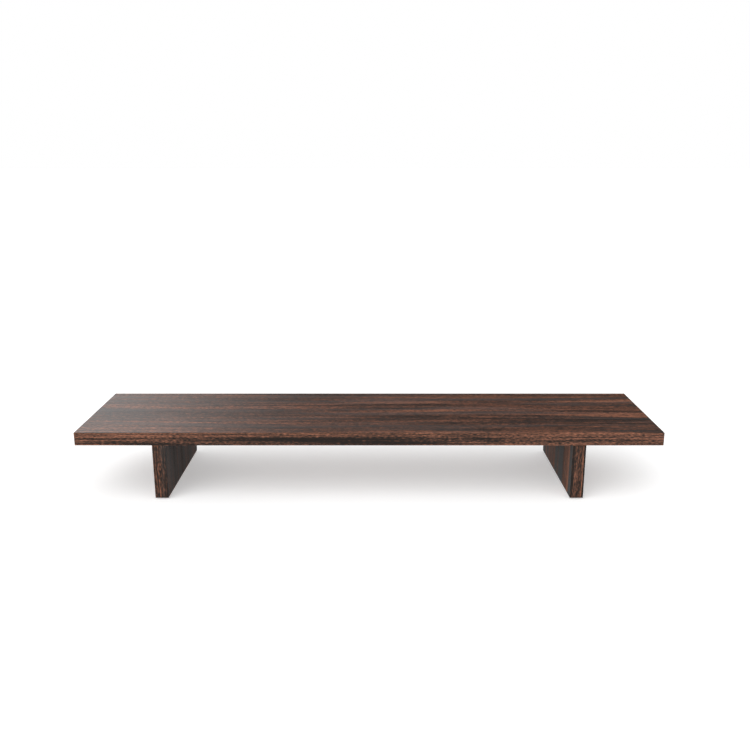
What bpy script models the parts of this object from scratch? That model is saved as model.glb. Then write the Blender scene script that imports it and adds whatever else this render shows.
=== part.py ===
"""Monitor riser stand: one long shelf on two board legs, pulled together by cam fittings.

Metres, +Z up. The origin is on the desk below the middle of the shelf. +X runs along the
shelf to the right, and the front faces -Y. Every board is a particleboard core with a thin
wood sheet on both faces and a wood band around the edges that show.
"""

import math

import bmesh
import bpy

OBJECT_NAME = "monitor_riser_stand"

# Boards.
SHELF_LENGTH = 1.100
DEPTH = 0.262  # front to back, the same for the shelf and both legs
BOARD = 0.025  # a finished board's thickness, with its skins
LEG_HEIGHT = 0.105
LEG_INSET = 0.144  # from the shelf's end to a leg's outer face
SHEET = 0.0006  # the wood sheet on a face
BAND = 0.001  # the wood band on an edge
EASED = 0.0005  # the rounding of a band's outer edges
GAP = 0.0003  # a glue line, or the clearance between two pieces that meet

# Feet: one pad near each end of a leg's bottom edge.
PAD_HEIGHT = 0.002
PAD_RADIUS = 0.009
PAD_SIDES = 32
PAD_SETBACK = 0.030  # from the leg's front or rear edge to the pad's centre

# Cam fittings: a cam, a bolt and a nut near each end of a leg's top edge.
CAM_SETBACK = 0.045  # from the leg's front or rear edge to the cam's axis
CAM_DROP = 0.034  # from the leg's top edge to the cam's axis
CAM_TURN = 190  # degrees from locked back to open
CAM_LENGTH = 0.0174
CAM_BORE_RADIUS = 0.0075
CAM_RADIUS = CAM_BORE_RADIUS - GAP
CAM_SIDES = 40
BALL_RADIUS = 0.0034  # the bolt's head
BALL_RISE = 0.0008  # the head's centre above the cam's axis
NECK_RADIUS = 0.0017
BALL_PLAY = 0.0008  # the cam's hollow is this much wider than the bolt's head
NECK_PLAY = 0.0010  # and its slot this much wider than the bolt's neck
SHANK_RADIUS = 0.0035
SHANK_BORE_RADIUS = 0.004
THREAD_RADIUS = 0.003
THREAD_DEPTH = 0.0004
THREAD_RIDGES = 5
NUT_RADIUS = 0.005
NUT_LENGTH = 0.012
NUT_BARBS = 3
BARB_DEPTH = 0.0006
TURNED_STEPS = 16  # round a bolt or a nut
BORE_SIDES = 24

# Dowels: one beside each cam fitting, further in.
DOWEL_PITCH = 0.032  # from the cam's axis to the dowel's
DOWEL_RADIUS = 0.004
DOWEL_IN_LEG = 0.020
DOWEL_IN_SHELF = 0.012
DOWEL_FLUTES = 16
FLUTE_RADIUS = 0.94 * DOWEL_RADIUS  # at the bottom of a flute

# Places that follow from the sizes above.
SKIN = SHEET + GAP  # from a board's face to its core
RIM = BAND + GAP  # from a board's banded edge to its core
LEG_BOTTOM = PAD_HEIGHT + GAP
LEG_TOP = LEG_BOTTOM + LEG_HEIGHT
SHELF_BOTTOM = LEG_TOP + GAP
LEG_X = SHELF_LENGTH / 2 - LEG_INSET - BOARD / 2
CAM_Y = DEPTH / 2 - CAM_SETBACK
CAM_Z = LEG_TOP - CAM_DROP
DOWEL_Y = CAM_Y - DOWEL_PITCH
PAD_Y = DEPTH / 2 - PAD_SETBACK

SIDES = {"left": -1, "right": 1}  # along X
ENDS = {"front": -1, "rear": 1}  # along Y

# Colour, roughness and metallic value of each material.
FINISHES = {
    "walnut_sheet": ((0.090, 0.052, 0.038), 0.45, 0.0),
    "walnut_band": ((0.105, 0.058, 0.040), 0.45, 0.0),
    "particleboard": ((0.480, 0.350, 0.210), 0.90, 0.0),
    "beech": ((0.620, 0.440, 0.270), 0.70, 0.0),
    "zinc": ((0.560, 0.570, 0.580), 0.38, 1.0),
    "steel": ((0.620, 0.610, 0.580), 0.28, 1.0),
    "nylon": ((0.720, 0.710, 0.680), 0.55, 0.0),
    "rubber": ((0.030, 0.030, 0.032), 0.85, 0.0),
}


def start():
    """Empties the scene and makes the collections for the parts and for the cutters."""
    for old in list(bpy.data.objects):
        bpy.data.objects.remove(old)
    groups = []
    for name in (OBJECT_NAME, "cutters"):
        group = bpy.data.collections.new(name)
        bpy.context.scene.collection.children.link(group)
        groups.append(group)
    return groups


PARTS, CUTTERS = start()


def add(name, data, group, place=(0, 0, 0), turn=(0, 0, 0), parent=None):
    """Puts an object made from data in a collection, placed within its parent."""
    obj = bpy.data.objects.new(name, data)
    group.objects.link(obj)
    obj.location = place
    obj.rotation_euler = turn
    obj.parent = parent
    return obj


def add_part(name, mesh, finish, place=(0, 0, 0), turn=(0, 0, 0), parent=None):
    """Adds one sub-part, with a material of its own."""
    colour, roughness, metallic = FINISHES[finish]
    material = bpy.data.materials.new(f"{name}_{finish}")
    material.use_nodes = True
    shader = material.node_tree.nodes["Principled BSDF"]
    shader.inputs["Base Color"].default_value = (*colour, 1)
    shader.inputs["Roughness"].default_value = roughness
    shader.inputs["Metallic"].default_value = metallic
    mesh.materials.clear()
    mesh.materials.append(material)
    return add(name, mesh, PARTS, place, turn, parent)


def add_cutter(name, mesh, place=(0, 0, 0), turn=(0, 0, 0), parent=None):
    """Adds a shape that is only there to be cut away from others."""
    obj = add(name, mesh, CUTTERS, place, turn, parent)
    obj.hide_render = True
    obj.display_type = "WIRE"
    return obj


def cut(part, cutter):
    modifier = part.modifiers.new(cutter.name, "BOOLEAN")
    modifier.operation = "DIFFERENCE"
    modifier.solver = "EXACT"
    modifier.object = cutter


def box(size):
    """A box mesh about its own centre."""
    shape = bmesh.new()
    bmesh.ops.create_cube(shape, size=1)
    bmesh.ops.scale(shape, vec=size, verts=shape.verts)
    return finished(shape, "box")


def cylinder(radius, length, sides):
    """A cylinder mesh along Z about its own centre."""
    shape = bmesh.new()
    bmesh.ops.create_cone(
        shape,
        cap_ends=True,
        segments=sides,
        radius1=radius,
        radius2=radius,
        depth=length,
    )
    mesh = finished(shape, "cylinder")
    shade_round(mesh)
    return mesh


def finished(shape, name):
    """The mesh of a bmesh, which is freed."""
    mesh = bpy.data.meshes.new(name)
    shape.to_mesh(mesh)
    shape.free()
    return mesh


def shade_round(mesh):
    mesh.shade_smooth()
    mesh.set_sharp_from_angle(angle=math.radians(35))


def evaluated_mesh(obj):
    """A copy of an object's mesh with its modifiers or its curve settings worked out."""
    ready = obj.evaluated_get(bpy.context.evaluated_depsgraph_get())
    return bpy.data.meshes.new_from_object(ready)


def plate(outline, thickness):
    """A flat mesh in the XY plane with the outline's shape, thickness spread about z = 0."""
    curve = bpy.data.curves.new("outline", "CURVE")
    curve.dimensions = "2D"
    curve.fill_mode = "BOTH"
    curve.extrude = thickness / 2
    spline = curve.splines.new("POLY")
    spline.points.add(len(outline) - 1)
    for point, (x, y) in zip(spline.points, outline):
        point.co = (x, y, 0, 1)
    spline.use_cyclic_u = True
    guide = add("outline", curve, CUTTERS)
    mesh = evaluated_mesh(guide)
    bpy.data.objects.remove(guide)
    shape = bmesh.new()
    shape.from_mesh(mesh)
    bmesh.ops.remove_doubles(shape, verts=shape.verts, dist=0.00001)
    shape.to_mesh(mesh)
    shape.free()
    return mesh


def profile_mesh(points, closed):
    """A line of edges through (radius, height) points, for turning about Z."""
    mesh = bpy.data.meshes.new("profile")
    shape = bmesh.new()
    corners = [shape.verts.new((radius, 0, height)) for radius, height in points]
    for first, second in zip(corners, corners[1:]):
        shape.edges.new((first, second))
    if closed:
        shape.edges.new((corners[-1], corners[0]))
    shape.to_mesh(mesh)
    shape.free()
    return mesh


def turn_about_z(obj, steps):
    """Turns an object's profile once round its own Z axis."""
    screw = obj.modifiers.new("turned", "SCREW")
    screw.axis = "Z"
    screw.angle = math.tau
    screw.steps = steps
    screw.render_steps = steps
    screw.use_merge_vertices = True
    screw.merge_threshold = 0.00005
    screw.use_smooth_shade = True


def edge_band(name, size, outward, place, parent):
    """A band whose edges are eased round the face that looks outward."""
    mesh = box(size)
    weights = mesh.attributes.new("bevel_weight_edge", "FLOAT", "EDGE")
    reach = max(v.co.dot(outward) for v in mesh.vertices)
    for edge in mesh.edges:
        ends = [mesh.vertices[i].co.dot(outward) for i in edge.vertices]
        weights.data[edge.index].value = float(min(ends) > reach - BAND / 2)
    band = add_part(name, mesh, "walnut_band", place, parent=parent)
    easing = band.modifiers.new("eased edges", "BEVEL")
    easing.limit_method = "WEIGHT"
    easing.width = EASED
    easing.segments = 3
    return band


def make_shelf():
    """The shelf's seven pieces, about an empty in the middle of its underside."""
    frame = add("shelf_frame", None, PARTS, (0, 0, SHELF_BOTTOM))
    core_length = SHELF_LENGTH - 2 * RIM
    core_depth = DEPTH - 2 * RIM
    middle = BOARD / 2
    core = add_part(
        "shelf_core",
        box((core_length, core_depth, BOARD - 2 * SKIN)),
        "particleboard",
        (0, 0, middle),
        parent=frame,
    )
    sheets = {}
    for name, height in (("top", BOARD - SHEET / 2), ("bottom", SHEET / 2)):
        sheets[name] = add_part(
            f"shelf_{name}_sheet",
            box((core_length, core_depth, SHEET)),
            "walnut_sheet",
            (0, 0, height),
            parent=frame,
        )
    for name, way in ENDS.items():
        edge_band(
            f"shelf_{name}_edge_band",
            (SHELF_LENGTH, BAND, BOARD),
            (0, way, 0),
            (0, way * (DEPTH - BAND) / 2, middle),
            frame,
        )
    for name, way in SIDES.items():
        edge_band(
            f"shelf_{name}_edge_band",
            (BAND, core_depth, BOARD),
            (way, 0, 0),
            (way * (SHELF_LENGTH - BAND) / 2, 0, middle),
            frame,
        )
    return core, sheets["bottom"]


def make_leg(side, outward):
    """One leg's six board pieces, about an empty in the middle of its bottom edge."""
    frame = add(f"{side}_leg_frame", None, PARTS, (outward * LEG_X, 0, LEG_BOTTOM))
    core_depth = DEPTH - 2 * RIM
    core_height = LEG_HEIGHT - RIM
    core_middle = RIM + core_height / 2
    core = add_part(
        f"{side}_leg_core",
        box((BOARD - 2 * SKIN, core_depth, core_height)),
        "particleboard",
        (0, 0, core_middle),
        parent=frame,
    )
    sheets = {}
    for name, way in (("outer", outward), ("inner", -outward)):
        sheets[name] = add_part(
            f"{side}_leg_{name}_sheet",
            box((SHEET, core_depth, core_height)),
            "walnut_sheet",
            (way * (BOARD - SHEET) / 2, 0, core_middle),
            parent=frame,
        )
    for name, way in ENDS.items():
        edge_band(
            f"{side}_leg_{name}_edge_band",
            (BOARD, BAND, LEG_HEIGHT),
            (0, way, 0),
            (0, way * (DEPTH - BAND) / 2, LEG_HEIGHT / 2),
            frame,
        )
    edge_band(
        f"{side}_leg_bottom_edge_band",
        (BOARD, core_depth, BAND),
        (0, 0, -1),
        (0, 0, BAND / 2),
        frame,
    )
    return core, sheets["outer"]


def arc(radius, start_degrees, end_degrees, steps):
    """Points on a circle, measured from the second axis towards the first."""
    points = []
    for step in range(steps + 1):
        angle = math.radians(start_degrees + (end_degrees - start_degrees) * step / steps)
        points.append((radius * math.sin(angle), radius * math.cos(angle)))
    return points


def cam_mesh():
    """The cam drum: its axis along X, its driven end at x = 0 and the rest at -X.

    The bolt's ball sits in an off-centre hollow. Its neck runs along a slot that ends at
    the mouth, where the ball can leave. Locked, the slot's start is at the top.
    """
    lip = 0.0045  # from the axis to the hollow's wall, where the locked ball bears
    offset = 0.0007  # of the hollow from the axis
    hollow_sides = 36
    ball_room = 2 * BALL_RADIUS + BALL_PLAY
    neck_room = 2 * NECK_RADIUS + NECK_PLAY
    neck_angle = 27  # degrees that the slot runs past the neck's centre
    beyond_drum = 1.3 * CAM_RADIUS  # how far the cutters reach from the axis
    rim_width = 0.0004
    blade_size = (0.0056, 0.0072, 0.0016)  # one arm of the cross that a screwdriver turns
    blade_taper = (0.55, 0.70)  # of its width and thickness, at the bottom
    arrow_tip = 0.0064  # from the axis
    arrow_base = 0.0048
    arrow_half_angle = 13
    arrow_size = 0.0010  # twice its depth, as half of the cutter is outside the drum
    along_x = (0, math.pi / 2, 0)
    plate_across_x = (math.pi / 2, 0, math.pi / 2)
    bolt_plane = -BOARD / 2

    drum = add_part(
        "cam_pattern",
        cylinder(CAM_RADIUS, CAM_LENGTH, CAM_SIDES),
        "zinc",
        (-CAM_LENGTH / 2, 0, 0),
        along_x,
    )
    rims = drum.modifiers.new("rims", "BEVEL")
    rims.limit_method = "ANGLE"
    rims.angle_limit = math.radians(60)
    rims.width = rim_width
    rims.segments = 1

    hollow = add_cutter(
        "hollow",
        cylinder(lip + offset, ball_room, hollow_sides),
        (bolt_plane, 0, -offset),
        along_x,
    )
    outer_arc = arc(beyond_drum, -neck_angle, CAM_TURN + neck_angle, 20)
    inner_arc = arc(lip / 2, CAM_TURN + neck_angle, -neck_angle, 10)
    slot = add_cutter(
        "slot",
        plate(outer_arc + inner_arc, neck_room),
        (bolt_plane, 0, 0),
        plate_across_x,
    )
    mouth_angle = math.radians(CAM_TURN)
    mouth = add_cutter(
        "mouth",
        cylinder(ball_room / 2, beyond_drum, BORE_SIDES),
        (
            bolt_plane,
            math.sin(mouth_angle) * beyond_drum / 2,
            math.cos(mouth_angle) * beyond_drum / 2,
        ),
        (-mouth_angle, 0, 0),
    )
    cutters = [hollow, slot, mouth]
    for name, angle in (("blade", 0), ("cross_blade", math.pi / 2)):
        blade = box(blade_size)
        for corner in blade.vertices:
            if corner.co.x < 0:
                corner.co.y *= blade_taper[0]
                corner.co.z *= blade_taper[1]
        cutters.append(add_cutter(name, blade, (0, 0, 0), (angle, 0, 0)))
    arrow = arc(arrow_tip, CAM_TURN, CAM_TURN, 1)[:1]
    arrow += arc(arrow_base, CAM_TURN - arrow_half_angle, CAM_TURN + arrow_half_angle, 1)
    cutters.append(add_cutter("arrow", plate(arrow, arrow_size), (0, 0, 0), plate_across_x))

    for cutter in cutters:
        cut(drum, cutter)
    mesh = evaluated_mesh(drum)
    mesh.transform(drum.matrix_world)
    for used in (drum, *cutters):
        bpy.data.objects.remove(used)
    shade_round(mesh)
    return mesh


def bolt_profile():
    """The connecting bolt's outline, top to bottom, with z = 0 at the leg's top edge."""
    recess = 0.0008  # from the nut's far end to the bolt's
    shoulder = 0.001  # the length over which the shank narrows to the neck
    crest_start, crest_end = 0.40, 0.60  # of a ridge's pitch
    thread_top = NUT_LENGTH - recess
    root_radius = THREAD_RADIUS - THREAD_DEPTH
    points = [(0, thread_top), (root_radius, thread_top)]
    pitch = (thread_top - GAP) / THREAD_RIDGES
    for ridge in range(THREAD_RIDGES):
        top = thread_top - ridge * pitch
        points.append((THREAD_RADIUS, top - pitch * crest_start))
        points.append((THREAD_RADIUS, top - pitch * crest_end))
        points.append((root_radius, top - pitch))
    shank_end = -CAM_DROP + CAM_BORE_RADIUS + GAP
    ball_centre = -CAM_DROP + BALL_RISE
    points.append((SHANK_RADIUS, 0))
    points.append((SHANK_RADIUS, shank_end + shoulder))
    points.append((NECK_RADIUS, shank_end))
    neck_meets_ball = math.degrees(math.asin(NECK_RADIUS / BALL_RADIUS))
    for radius, height in arc(BALL_RADIUS, neck_meets_ball, 180, 5):
        points.append((radius, ball_centre + height))
    points[-1] = (0, ball_centre - BALL_RADIUS)
    return points


def nut_profile():
    """The insert nut's outline, down the outside and closed up the bore, from z = 0 up."""
    bore = THREAD_RADIUS + GAP
    body = NUT_RADIUS - BARB_DEPTH
    flange = 0.0015
    points = [(bore, NUT_LENGTH), (body, NUT_LENGTH)]
    pitch = (NUT_LENGTH - flange) / (NUT_BARBS + 1)
    for barb in range(1, NUT_BARBS + 1):
        step = NUT_LENGTH - barb * pitch
        points.append((NUT_RADIUS, step))
        points.append((body, step))
    points.append((body, flange))
    points.append((NUT_RADIUS, flange))
    points.append((NUT_RADIUS, 0))
    points.append((bore, 0))
    return points


def dowel_mesh():
    """A fluted dowel along Z, its ends chamfered, with z = 0 at the leg's top edge."""
    length = DOWEL_IN_LEG + DOWEL_IN_SHELF
    chamfer = 0.001
    shape = bmesh.new()
    bmesh.ops.create_cone(
        shape,
        cap_ends=True,
        segments=2 * DOWEL_FLUTES,
        radius1=DOWEL_RADIUS,
        radius2=DOWEL_RADIUS,
        depth=length,
    )
    rims = [edge for edge in shape.edges if abs(sum(v.co.z for v in edge.verts)) > length / 2]
    bmesh.ops.bevel(shape, geom=rims, offset=chamfer, segments=1, affect="EDGES")
    for corner in shape.verts:
        turn = math.atan2(corner.co.y, corner.co.x) / math.tau * 2 * DOWEL_FLUTES
        if round(turn) % 2:
            corner.co.x *= FLUTE_RADIUS / DOWEL_RADIUS
            corner.co.y *= FLUTE_RADIUS / DOWEL_RADIUS
        corner.co.z += length / 2 - DOWEL_IN_LEG
    return finished(shape, "dowel")


def make_corner(side, outward, end, way, boards, cam):
    """The fittings, dowel and foot at one end of one leg, and the holes they sit in."""
    leg_core, outer_sheet, shelf_core, shelf_underside = boards
    corner = f"{side}_{end}"
    outer_face = outward * (LEG_X + BOARD / 2)
    outward_turn = (0, 0, 0 if outward > 0 else math.pi)

    # Each bore's cutter starts outside the board, so its open end is cut cleanly.
    outside = 0.002
    cam_depth = CAM_LENGTH + GAP
    cam_bore = add_cutter(
        f"{corner}_cam_bore",
        cylinder(CAM_BORE_RADIUS, 2 * cam_depth, CAM_SIDES),
        (outer_face, way * CAM_Y, CAM_Z),
        (0, math.pi / 2, 0),
    )
    cut(leg_core, cam_bore)
    cut(outer_sheet, cam_bore)
    add_part(
        f"{corner}_cam_lock",
        cam.copy(),
        "zinc",
        (outer_face, way * CAM_Y, CAM_Z),
        outward_turn,
    )

    shank_bore = add_cutter(
        f"{corner}_shank_bore",
        cylinder(SHANK_BORE_RADIUS, CAM_DROP + outside, BORE_SIDES),
        (outward * LEG_X, way * CAM_Y, LEG_TOP - CAM_DROP / 2 + outside / 2),
    )
    cut(leg_core, shank_bore)
    bolt = add_part(
        f"{corner}_connecting_bolt",
        profile_mesh(bolt_profile(), closed=False),
        "steel",
        (outward * LEG_X, way * CAM_Y, LEG_TOP),
    )
    turn_about_z(bolt, TURNED_STEPS)

    nut_depth = NUT_LENGTH + 2 * GAP
    nut_bore = add_cutter(
        f"{corner}_nut_bore",
        cylinder(NUT_RADIUS + GAP, 2 * nut_depth, BORE_SIDES),
        (outward * LEG_X, way * CAM_Y, SHELF_BOTTOM),
    )
    cut(shelf_core, nut_bore)
    cut(shelf_underside, nut_bore)
    nut = add_part(
        f"{corner}_insert_nut",
        profile_mesh(nut_profile(), closed=True),
        "nylon",
        (outward * LEG_X, way * CAM_Y, SHELF_BOTTOM),
    )
    turn_about_z(nut, TURNED_STEPS)

    dowel_room = DOWEL_IN_LEG + DOWEL_IN_SHELF + 4 * GAP
    dowel_bore = add_cutter(
        f"{corner}_dowel_bore",
        cylinder(DOWEL_RADIUS + GAP, dowel_room, BORE_SIDES),
        (
            outward * LEG_X,
            way * DOWEL_Y,
            LEG_TOP + (DOWEL_IN_SHELF - DOWEL_IN_LEG) / 2,
        ),
    )
    for board in (leg_core, shelf_core, shelf_underside):
        cut(board, dowel_bore)
    add_part(
        f"{corner}_dowel",
        dowel_mesh(),
        "beech",
        (outward * LEG_X, way * DOWEL_Y, LEG_TOP),
    )

    pad = add_part(
        f"{corner}_foot_pad",
        cylinder(PAD_RADIUS, PAD_HEIGHT, PAD_SIDES),
        "rubber",
        (outward * LEG_X, way * PAD_Y, PAD_HEIGHT / 2),
    )
    easing = pad.modifiers.new("eased rims", "BEVEL")
    easing.limit_method = "ANGLE"
    easing.angle_limit = math.radians(60)
    easing.width = EASED
    easing.segments = 1


def make_stand():
    shelf_core, shelf_underside = make_shelf()
    cam = cam_mesh()
    for side, outward in SIDES.items():
        leg_core, outer_sheet = make_leg(side, outward)
        boards = (leg_core, outer_sheet, shelf_core, shelf_underside)
        for end, way in ENDS.items():
            make_corner(side, outward, end, way, boards, cam)


make_stand()
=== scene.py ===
"""The look of the monitor riser stand: streaked dark wood on every face of its boards, cast
zinc cams, rubber pads, a pale floor and soft studio light.
"""

import math
from collections import namedtuple

import bmesh
import bpy
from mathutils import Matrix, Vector


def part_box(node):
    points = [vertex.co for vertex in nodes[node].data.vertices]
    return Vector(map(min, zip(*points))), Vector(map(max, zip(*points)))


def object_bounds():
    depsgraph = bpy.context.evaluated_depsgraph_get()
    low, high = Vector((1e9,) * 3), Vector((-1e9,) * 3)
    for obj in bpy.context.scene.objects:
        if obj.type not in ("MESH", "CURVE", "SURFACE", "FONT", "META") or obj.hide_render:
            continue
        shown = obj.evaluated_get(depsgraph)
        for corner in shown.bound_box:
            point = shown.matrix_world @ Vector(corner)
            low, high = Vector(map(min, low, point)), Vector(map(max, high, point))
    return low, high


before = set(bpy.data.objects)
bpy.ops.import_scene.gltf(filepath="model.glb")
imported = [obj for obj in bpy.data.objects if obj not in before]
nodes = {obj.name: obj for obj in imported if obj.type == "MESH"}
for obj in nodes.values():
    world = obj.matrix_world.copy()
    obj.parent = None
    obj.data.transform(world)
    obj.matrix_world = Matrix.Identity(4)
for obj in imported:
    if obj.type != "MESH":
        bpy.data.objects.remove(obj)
cad_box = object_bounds()

SIDES = ("left", "right")
ENDS = ("front", "rear")
WHITE = (1.0, 1.0, 1.0)


# ---------------------------------------------------------------- node graphs


class Graph:
    """A material's nodes, built with short calls. Any input can be a socket or a number."""

    def __init__(self, name):
        self.material = bpy.data.materials.new(name)
        self.material.use_nodes = True
        self.tree = self.material.node_tree
        self.shader = self.tree.nodes["Principled BSDF"]

    def feed(self, socket, value):
        if isinstance(value, bpy.types.NodeSocket):
            self.tree.links.new(value, socket)
        else:
            socket.default_value = value

    def maths(self, operation, first, second=0.0):
        node = self.tree.nodes.new("ShaderNodeMath")
        node.operation = operation
        self.feed(node.inputs[0], first)
        self.feed(node.inputs[1], second)
        return node.outputs[0]

    def add(self, first, *others):
        total = first
        for other in others:
            total = self.maths("ADD", total, other)
        return total

    def times(self, first, second):
        return self.maths("MULTIPLY", first, second)

    def square(self, value):
        return self.times(value, value)

    def between(self, low, high, amount):
        """low where amount is 0 and high where it is 1."""
        return self.add(low, self.times(amount, high - low))

    def spread(self, value, low, high):
        """0 up to low, 1 from high on, and smooth in between."""
        node = self.tree.nodes.new("ShaderNodeMapRange")
        node.interpolation_type = "SMOOTHSTEP"
        self.feed(node.inputs["Value"], value)
        node.inputs["From Min"].default_value = low
        node.inputs["From Max"].default_value = high
        return node.outputs["Result"]

    def places(self):
        """The object's own X, Y and Z, in metres."""
        coordinates = self.tree.nodes.new("ShaderNodeTexCoord")
        split = self.tree.nodes.new("ShaderNodeSeparateXYZ")
        self.feed(split.inputs[0], coordinates.outputs["Object"])
        return {axis: split.outputs[axis] for axis in "XYZ"}

    def point(self, values, rates):
        """A point for a texture to read: three values, each multiplied by its rate."""
        node = self.tree.nodes.new("ShaderNodeCombineXYZ")
        for socket, value, rate in zip(node.inputs, values, rates):
            self.feed(socket, self.times(value, rate))
        return node.outputs[0]

    def noise(self, where, detail=2.0, roughness=0.5):
        """Smooth noise about 0, mostly between -0.5 and 0.5."""
        node = self.tree.nodes.new("ShaderNodeTexNoise")
        self.feed(node.inputs["Vector"], where)
        node.inputs["Scale"].default_value = 1.0
        node.inputs["Detail"].default_value = detail
        node.inputs["Roughness"].default_value = roughness
        return self.add(node.outputs["Fac"], -0.5)

    def grain(self, per_metre, detail=2.0, roughness=0.5):
        """Noise with so many features a metre along X, Y and Z, mostly between 0 and 1."""
        where = self.point(self.places().values(), per_metre)
        return self.add(self.noise(where, detail, roughness), 0.5)

    def ramp(self, value, stops):
        """A colour ramp through (position, colour) stops."""
        node = self.tree.nodes.new("ShaderNodeValToRGB")
        self.feed(node.inputs["Fac"], value)
        elements = node.color_ramp.elements
        while len(elements) < len(stops):
            elements.new(1.0)
        for element, (position, colour) in zip(elements, stops):
            element.position = position
            element.color = (*colour, 1)
        return node.outputs["Color"]

    def blend(self, amount, first, second):
        """The first colour where amount is 0 and the second, a fixed one, where it is 1."""
        node = self.tree.nodes.new("ShaderNodeMix")
        node.data_type = "RGBA"
        self.feed(node.inputs["Factor"], amount)
        colours = {socket.name: socket for socket in node.inputs if socket.type == "RGBA"}
        self.feed(colours["A"], first)
        self.feed(colours["B"], (*second, 1))
        return [socket for socket in node.outputs if socket.type == "RGBA"][0]

    def bump(self, height, distance, strength=1.0):
        """Tilts the surface by a height between 0 and 1, which stands for distance in metres."""
        node = self.tree.nodes.new("ShaderNodeBump")
        node.inputs["Strength"].default_value = strength
        node.inputs["Distance"].default_value = distance
        self.feed(node.inputs["Height"], height)
        self.feed(self.shader.inputs["Normal"], node.outputs["Normal"])


def dress(node, material):
    """Gives a CAD node its material."""
    slots = nodes[node].data.materials
    if not slots:
        slots.append(material)
    for index in range(len(slots)):
        slots[index] = material


# ---------------------------------------------------------------- wood

CHARCOAL = (0.021, 0.015, 0.012)
UMBER = (0.055, 0.028, 0.018)
WALNUT = (0.110, 0.047, 0.028)
RUSSET = (0.195, 0.077, 0.042)
AMBER = (0.340, 0.130, 0.070)
SLATE = (0.064, 0.063, 0.063)
WOOD_COLOURS = ((0.12, CHARCOAL), (0.36, UMBER), (0.54, WALNUT), (0.74, RUSSET), (1.00, AMBER))

# The layers of the wood's figure: how many features a metre holds along the grain and across
# it, the noise's detail, and how strongly the layer shows in the colour.
Layer = namedtuple("Layer", "along across detail strength")
ZONES = Layer(1.6, 34.0, 2.0, 0.75)
STRIPES = Layer(3.0, 120.0, 2.0, 0.65)
LINES = Layer(3.5, 430.0, 2.0, 1.00)
DASHES = Layer(40.0, 520.0, 1.0, 0.30)
SPECKS = Layer(150.0, 850.0, 1.0, 1.20)
FIBRES = Layer(70.0, 1700.0, 2.0, 0.40)
PORES = Layer(130.0, 2600.0, 1.0, 0.55)
GREYING = Layer(2.2, 60.0, 2.0, 1.00)  # the wood's own grey setting scales this one
DEPTH_SHARE = 0.3  # of a layer's rate across the grain, for its rate into the board
PORE_EDGE = (0.10, 0.22)  # a pore opens between these levels of its noise
RING_STRENGTH = 0.22  # of a knot's rings

# How the grain bends: the features that a metre holds along the grain, across it and into the
# board, and how many metres the grain then moves aside.
WANDER = ((2.4, 9.0, 5.0), 0.026)
RIPPLE = ((9.0, 70.0, 1.0), 0.0014)


def bell(g, value, width):
    """1 where value is 0, and falling to 0 a little past width on both sides."""
    return g.maths("EXPONENT", g.times(g.square(g.times(value, 1 / width)), -1.0))


def streak(g, along, across, at, size, slope):
    """1 in the middle of a long soft streak and 0 away from it."""
    run = g.add(along, -at[0])
    side = g.add(across, -at[1], g.times(run, -slope))
    return g.times(bell(g, run, size[0]), bell(g, side, size[1]))


def knot(g, along, across, at, size):
    """A knot's rings, and how far the grain beside it is pushed aside."""
    fades_at = 1.3  # as a multiple of the knot's size
    ring_rate = 6.5
    push = 0.7
    run = g.times(g.add(along, -at[0]), 1 / size[0])
    side = g.add(across, -at[1])
    out = g.maths("SQRT", g.add(g.square(run), g.square(g.times(side, 1 / size[1]))))
    fade = bell(g, out, fades_at)
    rings = g.times(g.maths("COSINE", g.times(out, ring_rate)), fade)
    return rings, g.times(g.times(side, fade), -push)


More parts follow.
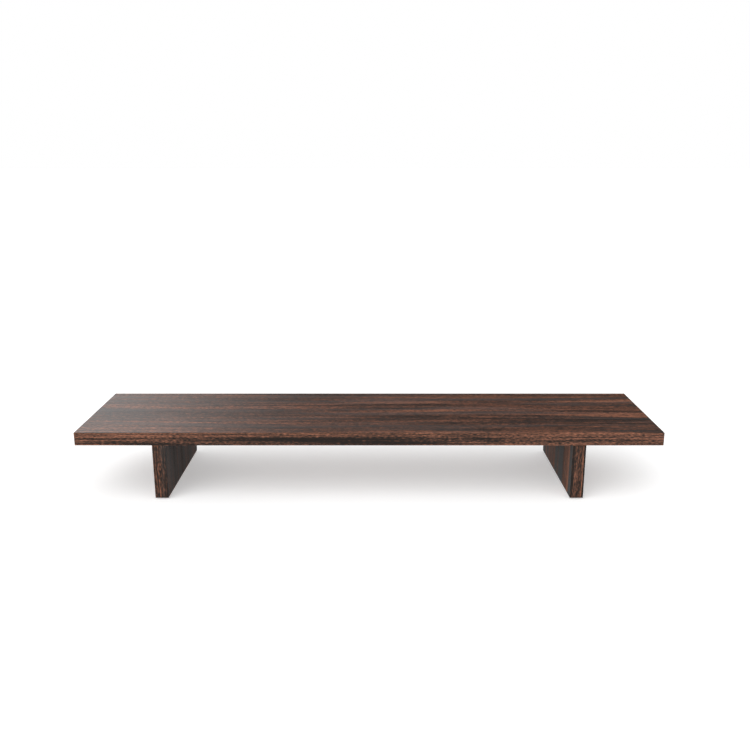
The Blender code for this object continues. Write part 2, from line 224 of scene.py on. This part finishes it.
def wood(
    name,
    grain,
    across,
    through,
    seed,
    tone=0.0,
    grey=0.3,
    broad=1.0,
    crisp=1.0,
    specked=1.0,
    closeness=1.0,
    sway=1.0,
    streaks=(),
    knot_at=None,
):
    """Dark walnut with straight streaks. grain, across and through are axes.

    seed picks another piece of wood, tone lightens it, and grey is how much of it turns
    slate grey. broad, crisp and specked scale the strength of its broad stripes, its fine
    lines and its specks, closeness how close the lines lie, and sway how far the grain
    wanders. Each streak is (place, size, slope, strength), along and across the grain.
    """
    g = Graph(name)
    places = g.places()
    along, side, depth = places[grain], places[across], g.add(places[through], seed)

    bent = side
    for rates, reach in (WANDER, RIPPLE):
        bend = g.noise(g.point((along, side, depth), rates), 1.0)
        bent = g.add(bent, g.times(bend, reach * sway))
    rings = 0.0
    if knot_at:
        rings, push = knot(g, along, side, *knot_at)
        bent = g.add(bent, push)

    def figure(layer, closer=1.0):
        """A layer's noise, bent with the grain."""
        rate_across = layer.across * closer
        rates = (layer.along, rate_across, rate_across * DEPTH_SHARE)
        return g.noise(g.point((along, bent, depth), rates), layer.detail)

    stripes = figure(STRIPES)
    fibres = figure(FIBRES)
    plain_level = 0.5 + tone
    level = g.add(
        plain_level,
        g.times(figure(ZONES), ZONES.strength * broad),
        g.times(stripes, STRIPES.strength * broad),
        g.times(figure(LINES, closeness), LINES.strength * crisp),
        g.times(figure(DASHES, closeness), DASHES.strength * crisp),
        g.times(figure(SPECKS), SPECKS.strength * specked),
        g.times(fibres, FIBRES.strength),
        g.times(rings, RING_STRENGTH),
    )
    for at, size, slope, strength in streaks:
        level = g.add(level, g.times(streak(g, along, bent, at, size, slope), strength))

    # The greyer the wood, the lower the level of the noise from which it turns grey.
    grey_from = 0.10 - 0.25 * grey
    grey_to = 0.25 - 0.25 * grey
    turned_grey = g.spread(figure(GREYING), grey_from, grey_to)
    open_pores = g.spread(figure(PORES), *PORE_EDGE)
    colour = g.ramp(level, WOOD_COLOURS)
    colour = g.blend(g.times(turned_grey, GREYING.strength * grey), colour, SLATE)
    colour = g.blend(g.times(open_pores, PORES.strength), colour, CHARCOAL)
    g.feed(g.shader.inputs["Base Color"], colour)

    # Satin, and duller on the stripes and in the open pores, which are also sunk.
    satin = 0.42
    roughness = g.add(satin, g.times(stripes, 0.10), g.times(open_pores, 0.16))
    g.feed(g.shader.inputs["Roughness"], roughness)
    surface = 0.8
    relief = g.add(surface, g.times(open_pores, -surface), g.times(fibres, 0.35))
    g.bump(relief, distance=0.0001, strength=0.6)
    return g.material


# Streaks on the top, as wood() takes them: metres from the shelf's middle, along it and back.
TOP_STREAKS = (
    ((0.06, 0.112), (0.18, 0.010), 0.00, -0.14),
    ((0.06, 0.065), (0.11, 0.007), 0.00, 0.36),
    ((0.09, 0.048), (0.11, 0.005), 0.01, -0.26),
    ((-0.12, 0.022), (0.08, 0.007), 0.00, 0.22),
    ((0.07, 0.016), (0.13, 0.009), 0.00, -0.24),
    ((0.08, -0.008), (0.13, 0.009), 0.00, 0.34),
    ((-0.11, -0.029), (0.10, 0.005), 0.00, 0.18),
    ((0.07, -0.040), (0.14, 0.014), 0.00, -0.22),
    ((0.02, -0.074), (0.20, 0.008), 0.00, 0.16),
    ((0.50, 0.089), (0.14, 0.006), 0.00, -0.20),
    ((0.50, 0.069), (0.12, 0.008), 0.00, 0.28),
    ((0.47, 0.007), (0.10, 0.004), 0.00, -0.36),
    ((0.52, -0.019), (0.15, 0.012), 0.00, 0.28),
    ((0.50, -0.045), (0.14, 0.007), 0.00, -0.24),
)

# Streaks on the shelf's front band: metres from its middle, and above its lower edge.
FRONT_STREAKS = (
    ((-0.25, 0.0200), (0.20, 0.0030), 0.010, 0.16),
    ((-0.12, 0.0124), (0.20, 0.0046), 0.006, -0.58),
    ((0.02, 0.0074), (0.24, 0.0036), 0.000, -0.44),
    ((0.02, 0.0031), (0.28, 0.0012), 0.000, -0.30),
    ((0.206, 0.0144), (0.042, 0.0042), -0.140, -0.34),
    ((0.187, 0.0060), (0.030, 0.0017), 0.000, 0.28),
    ((0.02, 0.0144), (0.24, 0.0200), 0.000, -0.08),
    ((0.42, 0.0139), (0.17, 0.0130), 0.000, 0.11),
    ((-0.50, 0.0196), (0.06, 0.0012), -0.020, -0.22),
    ((-0.52, 0.0124), (0.05, 0.0014), -0.020, -0.22),
    ((-0.42, 0.0104), (0.12, 0.0090), 0.000, 0.17),
    ((-0.45, 0.0029), (0.12, 0.0014), 0.000, -0.16),
)

# What sets a leg's inner sheet and front band apart, as settings for wood(). The inner sheets'
# tones are painted light and shade.
INNER_LOOKS_AND_PAINTED_LIGHT = {
    # painted shade: a lower tone on the left leg's inner sheet, which faces away from the light
    # from the left
    "left": {"tone": -0.04, "grey": 0.85, "crisp": 1.7, "closeness": 0.3},
    # painted light: a higher tone on the right leg's inner sheet, which faces the light from the
    # left
    "right": {"tone": 0.16, "grey": 1.0, "crisp": 1.8, "closeness": 0.3},
}
LEG_FRONT_LOOKS = {
    "left": {"tone": -0.17, "broad": 0.5, "crisp": 1.9, "specked": 1.5, "sway": 0.3},
    "right": {"tone": -0.20, "grey": 0.05, "broad": 0.5, "crisp": 2.2, "specked": 1.5, "sway": 0.3},
}

# Streaks up the whole of a leg: their place, their width to each side and their strength. The
# place is in metres, back from an inner sheet's middle or right of a front band's middle.
INNER_STREAKS = {
    "left": (
        (-0.113, 0.009, 0.28),
        (-0.034, 0.004, 0.16),
        (0.030, 0.014, 0.18),
    ),
    "right": (
        (-0.105, 0.012, 0.22),
        (-0.047, 0.010, -0.15),
        (-0.020, 0.005, 0.18),
        (0.005, 0.012, -0.18),
        (0.035, 0.008, 0.20),
    ),
}
LEG_FRONT_STREAKS = {
    "left": ((0.0095, 0.0020, -0.28),),
    "right": (
        (-0.0060, 0.0022, 0.30),
        (0.0060, 0.0022, 0.22),
        (-0.0120, 0.0018, -0.55),
        (0.0120, 0.0018, -0.55),
    ),
}
KNOT_RISE = 0.0052  # from the middle of the left leg's front band up to its knot
KNOT_SIZE = (0.011, 0.0045)  # to each side of its middle, along the grain and across it


def front_streaks():
    """The streaks on the shelf's front band, at their real heights."""
    lower_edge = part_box("shelf_front_edge_band")[0].z
    for (along, above), size, slope, strength in FRONT_STREAKS:
        yield (along, lower_edge + above), size, slope, strength


def leg_looks(side):
    """The settings for wood() of a leg's inner sheet and front band, with their streaks."""
    low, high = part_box(f"{side}_leg_front_edge_band")
    middle, mid_height = (low.x + high.x) / 2, (low.z + high.z) / 2
    tall = high.z - low.z

    def upright(streaks, start):
        """Straight streaks as tall as the leg, placed from start."""
        return [
            ((mid_height, start + at), (tall, width), 0.0, strength)
            for at, width, strength in streaks
        ]

    inner = {**INNER_LOOKS_AND_PAINTED_LIGHT[side], "streaks": upright(INNER_STREAKS[side], 0.0)}
    front = {**LEG_FRONT_LOOKS[side], "streaks": upright(LEG_FRONT_STREAKS[side], middle)}
    if side == "left":
        front["knot_at"] = ((mid_height + KNOT_RISE, middle), KNOT_SIZE)
    return {"inner_sheet": inner, "front_edge_band": front}


def dress_shelf():
    """The shelf's faces and bands. Their grain runs along them."""
    top = wood(
        "wood_shelf_top",
        grain="X",
        across="Y",
        through="Z",
        seed=3.1,
        tone=-0.05,
        grey=0.5,
        crisp=1.5,
        specked=1.7,
        closeness=0.4,
        streaks=TOP_STREAKS,
    )
    dress("shelf_top_sheet", top)
    bottom = wood("wood_shelf_bottom", "X", "Y", "Z", seed=7.7)
    dress("shelf_bottom_sheet", bottom)
    front = wood(
        "wood_shelf_front",
        grain="X",
        across="Z",
        through="Y",
        seed=12.3,
        tone=0.02,
        grey=0.05,
        broad=0.35,
        crisp=1.8,
        specked=1.7,
        sway=0.4,
        streaks=front_streaks(),
    )
    dress("shelf_front_edge_band", front)
    rear = wood("wood_shelf_rear", "X", "Z", "Y", seed=16.9, tone=0.06)
    dress("shelf_rear_edge_band", rear)
    for side, seed in zip(SIDES, (21.3, 25.1)):
        band = wood(f"wood_shelf_{side}", "Y", "Z", "X", seed)
        dress(f"shelf_{side}_edge_band", band)


def dress_leg(side, seed):
    """A leg's sheets and bands, each from a piece of wood of its own.

    Their grain is upright, apart from the bottom band's, which runs from front to back.
    """
    looks = leg_looks(side)
    pieces = (
        ("outer_sheet", "Z", "Y", "X", 0.0),
        ("inner_sheet", "Z", "Y", "X", 3.3),
        ("front_edge_band", "Z", "X", "Y", 8.1),
        ("rear_edge_band", "Z", "X", "Y", 10.8),
        ("bottom_edge_band", "Y", "X", "Z", 14.3),
    )
    for piece, grain, across, through, step in pieces:
        name = f"{side}_leg_{piece}"
        look = looks.get(piece, {})
        dress(name, wood(f"wood_{name}", grain, across, through, seed + step, **look))


# ---------------------------------------------------------------- other materials


def chipboard(name):
    """Pressed wood chips: pale flakes of all sizes with dark specks between them."""
    g = Graph(name)
    chips = g.grain((420, 420, 900), 4.0, 0.7)
    stops = (
        (0.25, (0.120, 0.070, 0.035)),
        (0.50, (0.360, 0.240, 0.130)),
        (0.75, (0.560, 0.420, 0.260)),
    )
    g.feed(g.shader.inputs["Base Color"], g.ramp(chips, stops))
    g.shader.inputs["Roughness"].default_value = 0.9
    g.bump(chips, 0.0004)
    return g.material


def beech(name):
    """Raw beech, with short darker flecks along the dowel."""
    g = Graph(name)
    flecks = g.grain((1400, 1400, 220), 3.0)
    stops = (
        (0.30, (0.380, 0.220, 0.120)),
        (0.55, (0.620, 0.440, 0.270)),
        (0.80, (0.700, 0.520, 0.340)),
    )
    g.feed(g.shader.inputs["Base Color"], g.ramp(flecks, stops))
    g.shader.inputs["Roughness"].default_value = 0.7
    g.bump(flecks, 0.0001)
    return g.material


def cast_zinc(name):
    """Die-cast zinc: dull bright metal with a fine orange-peel skin and grey clouding."""
    g = Graph(name)
    clouds = g.grain((260, 260, 260), 3.0)
    skin = g.grain((2600, 2600, 2600))
    stops = ((0.30, (0.370, 0.375, 0.380)), (0.60, (0.560, 0.565, 0.570)))
    g.feed(g.shader.inputs["Base Color"], g.ramp(clouds, stops))
    g.shader.inputs["Metallic"].default_value = 1.0
    g.feed(g.shader.inputs["Roughness"], g.between(0.295, 0.545, clouds))
    g.bump(skin, 0.00004)
    return g.material


def plated_steel(name):
    """Zinc-plated steel with faint turning marks round the bolt."""
    g = Graph(name)
    marks = g.grain((60, 60, 5200))
    stops = ((0.30, (0.480, 0.475, 0.450)), (0.70, (0.680, 0.675, 0.650)))
    g.feed(g.shader.inputs["Base Color"], g.ramp(marks, stops))
    g.shader.inputs["Metallic"].default_value = 1.0
    g.feed(g.shader.inputs["Roughness"], g.between(0.20, 0.40, marks))
    return g.material


def moulded(name, dark, light, roughness, per_metre, grain_depth):
    """A moulded plastic or rubber with a fine even surface grain."""
    g = Graph(name)
    grain = g.grain((per_metre, per_metre, per_metre), 3.0)
    g.feed(g.shader.inputs["Base Color"], g.ramp(grain, ((0.3, dark), (0.7, light))))
    g.feed(g.shader.inputs["Roughness"], g.between(*roughness, grain))
    g.bump(grain, grain_depth)
    return g.material


def dress_fittings():
    """The pieces between and inside the boards, and the boards' cores."""
    core = chipboard("particleboard")
    fittings = {
        "cam_lock": cast_zinc("zinc"),
        "connecting_bolt": plated_steel("plated_steel"),
        "insert_nut": moulded(
            "nylon",
            dark=(0.60, 0.59, 0.55),
            light=(0.74, 0.73, 0.69),
            roughness=(0.425, 0.575),
            per_metre=1800,
            grain_depth=0.00003,
        ),
        "dowel": beech("beech"),
        "foot_pad": moulded(
            "rubber",
            dark=(0.016, 0.016, 0.017),
            light=(0.040, 0.040, 0.041),
            roughness=(0.725, 0.875),
            per_metre=2400,
            grain_depth=0.00006,
        ),
    }
    dress("shelf_core", core)
    for side in SIDES:
        dress(f"{side}_leg_core", core)
        for end in ENDS:
            for fitting, material in fittings.items():
                dress(f"{side}_{end}_{fitting}", material)


# ---------------------------------------------------------------- studio


class WorldGraph:
    """The world's nodes, built with short calls."""

    def __init__(self, tree):
        self.tree = tree
        tree.nodes.clear()
        self.direction = tree.nodes.new("ShaderNodeTexCoord").outputs["Generated"]
        self.paths = tree.nodes.new("ShaderNodeLightPath")

    def white(self, strength):
        """A white surround. Its strength is a number or a socket."""
        node = self.tree.nodes.new("ShaderNodeBackground")
        node.inputs["Color"].default_value = (*WHITE, 1)
        if isinstance(strength, bpy.types.NodeSocket):
            self.tree.links.new(strength, node.inputs["Strength"])
        else:
            node.inputs["Strength"].default_value = strength
        return node.outputs[0]

    def pick(self, ray, otherwise, chosen):
        """One surround for rays of a kind, and the other for all other rays."""
        mix = self.tree.nodes.new("ShaderNodeMixShader")
        self.tree.links.new(self.paths.outputs[ray], mix.inputs["Fac"])
        self.tree.links.new(otherwise, mix.inputs[1])
        self.tree.links.new(chosen, mix.inputs[2])
        return mix.outputs[0]

    def patch(self, centre, edge, middle, dim, bright):
        """Bright towards centre: dim where the cosine from it is edge, bright at middle."""
        towards = self.tree.nodes.new("ShaderNodeVectorMath")
        towards.operation = "DOT_PRODUCT"
        towards.inputs[1].default_value = Vector(centre).normalized()
        self.tree.links.new(self.direction, towards.inputs[0])
        glow = self.tree.nodes.new("ShaderNodeMapRange")
        glow.interpolation_type = "SMOOTHSTEP"
        glow.inputs["From Min"].default_value = edge
        glow.inputs["From Max"].default_value = middle
        glow.inputs["To Min"].default_value = dim
        glow.inputs["To Max"].default_value = bright
        self.tree.links.new(towards.outputs["Value"], glow.inputs["Value"])
        return glow.outputs["Result"]

    def add(self, first, second):
        total = self.tree.nodes.new("ShaderNodeMath")
        self.tree.links.new(first, total.inputs[0])
        self.tree.links.new(second, total.inputs[1])
        return total.outputs[0]


def studio_world():
    """A white surround that lights evenly, seen in gloss as a dim room.

    The room has one bright window, behind on the left, and a soft panel at each side.
    """
    window = (-0.62, 1.0, 0.36)
    panel_rise = 0.2
    seen_white = 1.0
    lighting = 0.9

    world = bpy.data.worlds.new("studio")
    bpy.context.scene.world = world
    world.use_nodes = True
    world.cycles.sampling_method = "NONE"
    g = WorldGraph(world.node_tree)
    room = g.patch(window, edge=0.90, middle=0.99, dim=0.06, bright=2.1)
    for side in (-1, 1):
        panel = g.patch((side, 0, panel_rise), edge=0.60, middle=0.90, dim=0.0, bright=0.8)
        room = g.add(room, panel)
    lit = g.pick("Is Glossy Ray", g.white(lighting), g.white(room))
    seen = g.pick("Is Camera Ray", lit, g.white(seen_white))
    output = world.node_tree.nodes.new("ShaderNodeOutputWorld")
    world.node_tree.links.new(seen, output.inputs["Surface"])


def make_floor():
    """A wide pale floor at the pads' underside."""
    half_width = 30.0
    shape = bmesh.new()
    bmesh.ops.create_grid(shape, x_segments=8, y_segments=8, size=half_width)
    mesh = bpy.data.meshes.new("floor")
    shape.to_mesh(mesh)
    shape.free()
    floor = bpy.data.objects.new("floor", mesh)
    bpy.context.scene.collection.objects.link(floor)
    floor.location.z = cad_box[0].z
    g = Graph("floor_paper")
    stops = ((0.2, (0.80, 0.80, 0.80)), (0.8, (0.84, 0.84, 0.84)))
    g.feed(g.shader.inputs["Base Color"], g.ramp(g.grain((3, 3, 0)), stops))
    g.shader.inputs["Roughness"].default_value = 0.9
    g.shader.inputs["Specular IOR Level"].default_value = 0.1
    g.shader.inputs["Emission Color"].default_value = (*WHITE, 1)
    g.shader.inputs["Emission Strength"].default_value = 0.35
    mesh.materials.append(g.material)
    floor.visible_glossy = False


def make_camera():
    """A 40 mm lens at standing height in front of the desk, looking 15 degrees down."""
    lens = 40
    sensor_width = 36
    tilt_down = math.radians(15)
    from_front_edge = 1.469
    above_underside = 0.530
    right_of_middle = 0.011
    band_low, band_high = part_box("shelf_front_edge_band")
    camera = bpy.data.cameras.new("camera")
    camera.lens = lens
    camera.sensor_width = sensor_width
    holder = bpy.data.objects.new("camera", camera)
    bpy.context.scene.collection.objects.link(holder)
    holder.location = (
        (band_low.x + band_high.x) / 2 + right_of_middle,
        band_low.y - from_front_edge,
        band_low.z + above_underside,
    )
    holder.rotation_euler = (math.pi / 2 - tilt_down, 0, 0)
    bpy.context.scene.camera = holder


def soft_light(name, direction, strength, spread_degrees):
    """A distant light with soft edges, shining along direction."""
    light = bpy.data.lights.new(name, "SUN")
    light.energy = strength
    light.angle = math.radians(spread_degrees)
    lamp = bpy.data.objects.new(name, light)
    bpy.context.scene.collection.objects.link(lamp)
    lamp.visible_glossy = False
    lamp.rotation_euler = Vector(direction).to_track_quat("-Z", "Y").to_euler()


def make_lights():
    soft_light("key_light", (0.55, 0.65, -1.0), strength=0.7, spread_degrees=50)
    soft_light("front_fill", (0.80, 1.0, -0.25), strength=0.9, spread_degrees=60)


dress_shelf()
for side, seed in zip(SIDES, (31.7, 48.9)):
    dress_leg(side, seed)
dress_fittings()
make_camera()
studio_world()
make_lights()
make_floor()
bpy.context.scene.view_settings.view_transform = "Standard"
